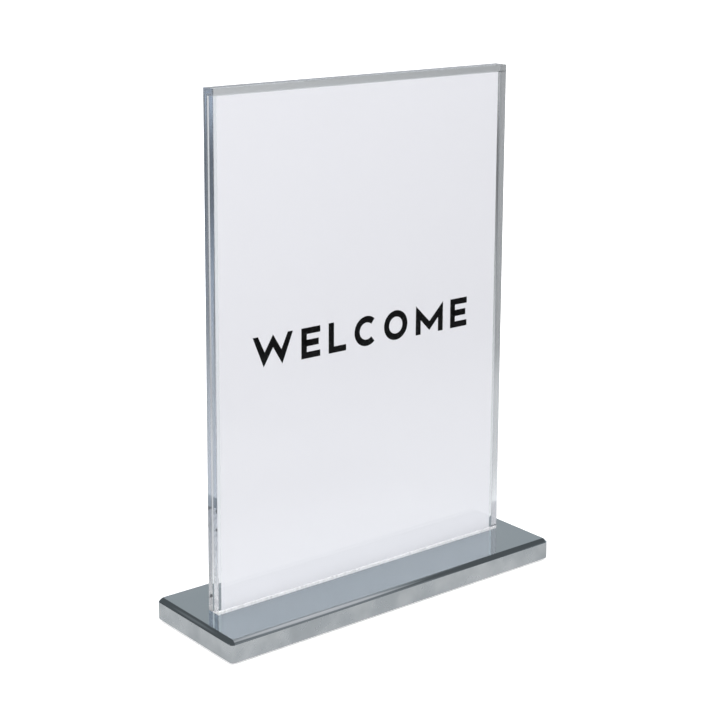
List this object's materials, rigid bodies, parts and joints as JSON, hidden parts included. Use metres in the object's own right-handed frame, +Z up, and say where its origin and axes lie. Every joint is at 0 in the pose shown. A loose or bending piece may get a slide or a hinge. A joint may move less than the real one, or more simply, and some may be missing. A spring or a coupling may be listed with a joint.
{
  "type": "countertop sign stand",
  "caption": "Countertop sign stand: a clear acrylic pocket, open at one end for a printed card, stands upright in the slot of a heavy chamfered steel bar.",
  "frame": {"origin": "centre of the resting face, on the surface the stand rests on", "axes": "+X to the reader's right along the bar, +Y away from the reader through the panel, +Z up"},
  "size_m": [0.174, 0.0544, 0.224],
  "materials": {
    "polished_steel": "polished",
    "clear_acrylic": "polished",
    "white_card": "matte",
    "screw_steel": "satin",
    "soft_pad": "matte"
  },
  "bodies": {
    "stand": {"base_plate": "polished_steel", "front_panel": "clear_acrylic", "back_panel": "clear_acrylic", "top_spacer": "clear_acrylic", "side_spacer": "clear_acrylic", "bottom_spacer": "clear_acrylic", "fixing_screws": "screw_steel", "base_pad": "soft_pad"},
    "card": {"sign_insert": "white_card"}
  },
  "joints": [
    {"name": "card_slide", "type": "slide", "parent": "stand", "child": "card", "axis": [-1, 0, 0], "range_m": [0, 0.145]}
  ]
}
